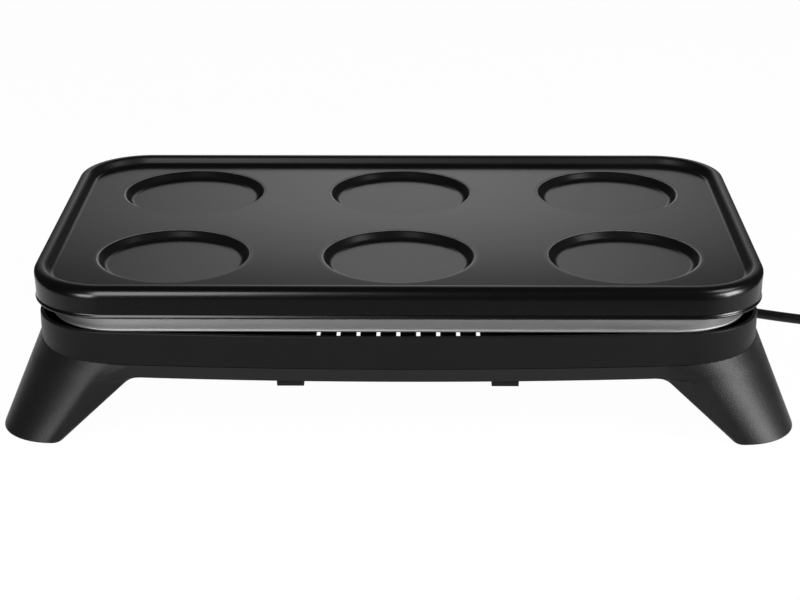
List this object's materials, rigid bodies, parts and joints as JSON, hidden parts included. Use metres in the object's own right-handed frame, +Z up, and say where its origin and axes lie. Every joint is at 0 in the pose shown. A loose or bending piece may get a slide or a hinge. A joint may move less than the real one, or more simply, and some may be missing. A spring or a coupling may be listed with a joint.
{
  "type": "mini crepe maker",
  "caption": "Countertop electric griddle with round recesses for small crepes, a bright heat tray, a black base on splayed corner legs and a mains cord.",
  "frame": {"origin": "on the table, under the middle of the base", "axes": "+X to the right along the length, +Y towards the back, +Z up"},
  "size_m": [0.6448, 0.3186, 0.0962],
  "materials": {
    "plate_coating": "dark non-stick coating on cast aluminium, satin",
    "bright_tray": "bright rolled steel sheet",
    "sheath_steel": "dull element sheath and small steel parts",
    "ceramic": "white ceramic or heat-proof moulding",
    "gloss_band": "black gloss moulding",
    "satin_frame": "black satin moulding",
    "black_rubber": "black flexible rubber or PVC",
    "brass_parts": "plain brass",
    "plug_metal": "nickel-plated contacts",
    "live_insulation": "brown insulation",
    "neutral_insulation": "blue insulation",
    "earth_insulation": "green insulation"
  },
  "bodies": {
    "base": {"reflector_tray": "bright_tray", "heating_element": "sheath_steel", "element_pins": "sheath_steel", "element_bushings": "ceramic", "element_supports": "sheath_steel", "tray_rivets": "bright_tray", "tray_screws": "sheath_steel", "tray_spacers": "ceramic", "thermostat": "sheath_steel", "thermostat_screws": "sheath_steel", "thermal_fuse": "ceramic", "fuse_clip": "bright_tray", "push_terminals": "bright_tray", "earth_terminal": "brass_parts", "earth_screw": "brass_parts", "upper_housing": "gloss_band", "base_floor": "satin_frame", "leg_frame": "satin_frame", "housing_screws": "sheath_steel", "foot_pads": "black_rubber", "wiring_cover": "satin_frame", "cover_screws": "sheath_steel", "terminal_block": "ceramic", "terminal_screws": "brass_parts", "live_lead": "live_insulation", "switch_lead": "live_insulation", "fuse_lead": "live_insulation", "neutral_lead": "neutral_insulation", "earth_lead": "earth_insulation", "cord_clamp": "satin_frame", "clamp_screws": "sheath_steel", "cord_tail": "black_rubber", "cord_cores": "live_insulation", "strain_relief": "black_rubber", "cord_run": "black_rubber", "cord_coil": "black_rubber", "cord_lead": "black_rubber", "cord_tie": "satin_frame", "plug_body": "black_rubber", "plug_pins": "plug_metal", "plug_earth": "plug_metal"},
    "plate": {"griddle_plate": "plate_coating"}
  },
  "joints": [
    {"name": "plate_lift", "type": "slide", "parent": "base", "child": "plate", "axis": [0, 0, 1], "range_m": [0, 0.06]}
  ]
}
